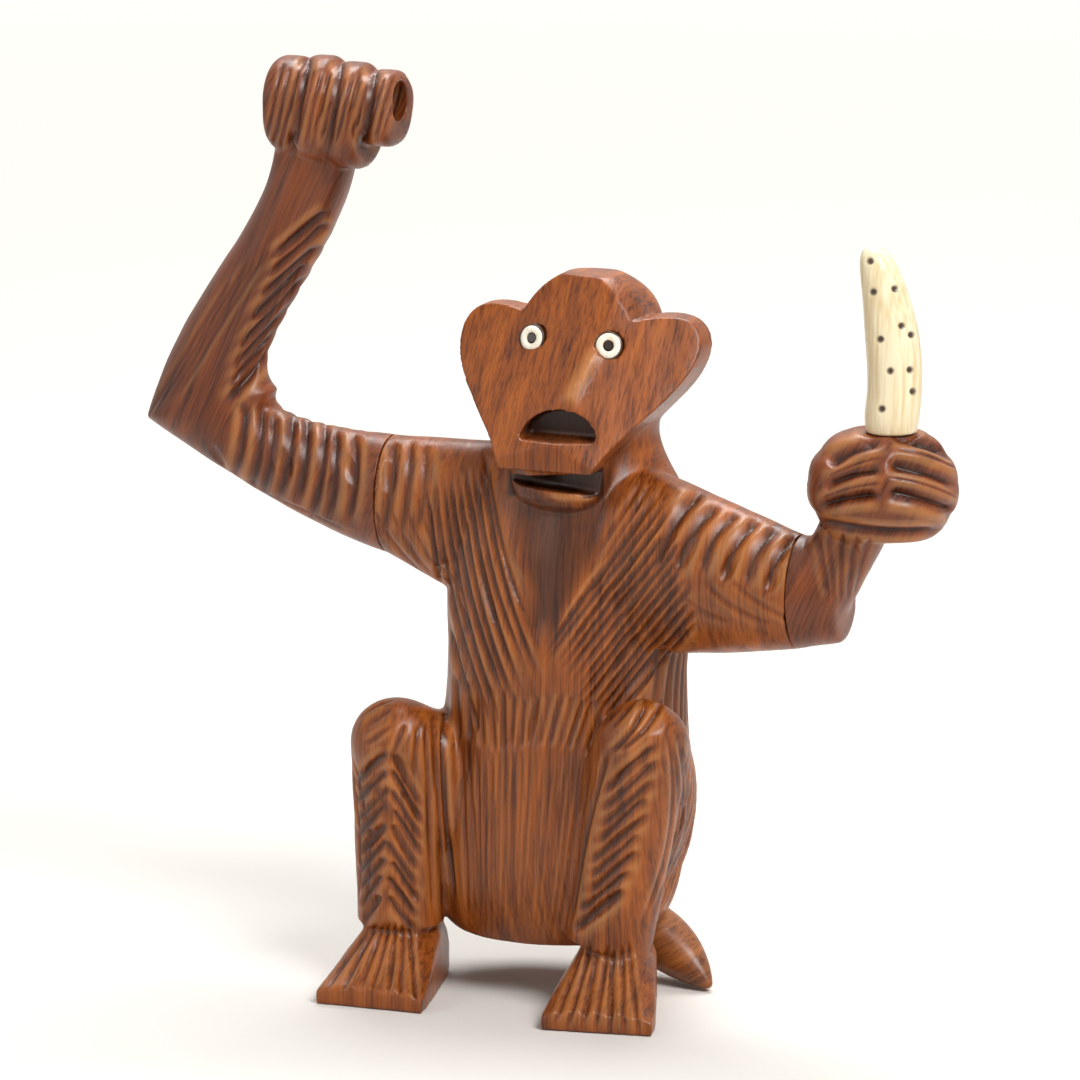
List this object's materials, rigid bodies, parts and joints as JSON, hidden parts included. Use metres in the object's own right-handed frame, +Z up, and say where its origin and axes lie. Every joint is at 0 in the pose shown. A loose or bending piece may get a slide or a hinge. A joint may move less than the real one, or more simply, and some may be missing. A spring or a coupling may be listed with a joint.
{
  "type": "monkey figurine",
  "caption": "Carved hardwood monkey squatting on flat soles, one raised fist bored to hang from a twig, the other holding a removable banana.",
  "frame": {"origin": "middle of the whole figure's footprint, on the surface that its soles and tail tip stand on", "axes": "+Z up, the monkey faces -Y, its own left side is +X"},
  "size_m": [0.1357, 0.0442, 0.143],
  "materials": {
    "rosewood_body": "oiled and waxed rosewood, knife-carved",
    "rosewood_arm": "oiled and waxed rosewood, knife-carved, a little redder",
    "banana_wood": "pale smooth wood with burnt dots",
    "bone": "polished white bone inlay",
    "pupil": "black ebony pin",
    "dowel_wood": "plain dowel"
  },
  "bodies": {
    "figure": {"body": "rosewood_body", "right_arm": "rosewood_arm", "left_forearm": "rosewood_arm", "tail": "rosewood_body", "eye_ring_left": "bone", "eye_ring_right": "bone", "pupil_left": "pupil", "pupil_right": "pupil", "shoulder_dowel": "dowel_wood", "elbow_dowel": "dowel_wood"},
    "banana": {"banana": "banana_wood"}
  },
  "joints": [
    {"name": "banana_pull", "type": "slide", "parent": "figure", "child": "banana", "axis": [0, 0, 1], "range_m": [0, 0.011]}
  ]
}
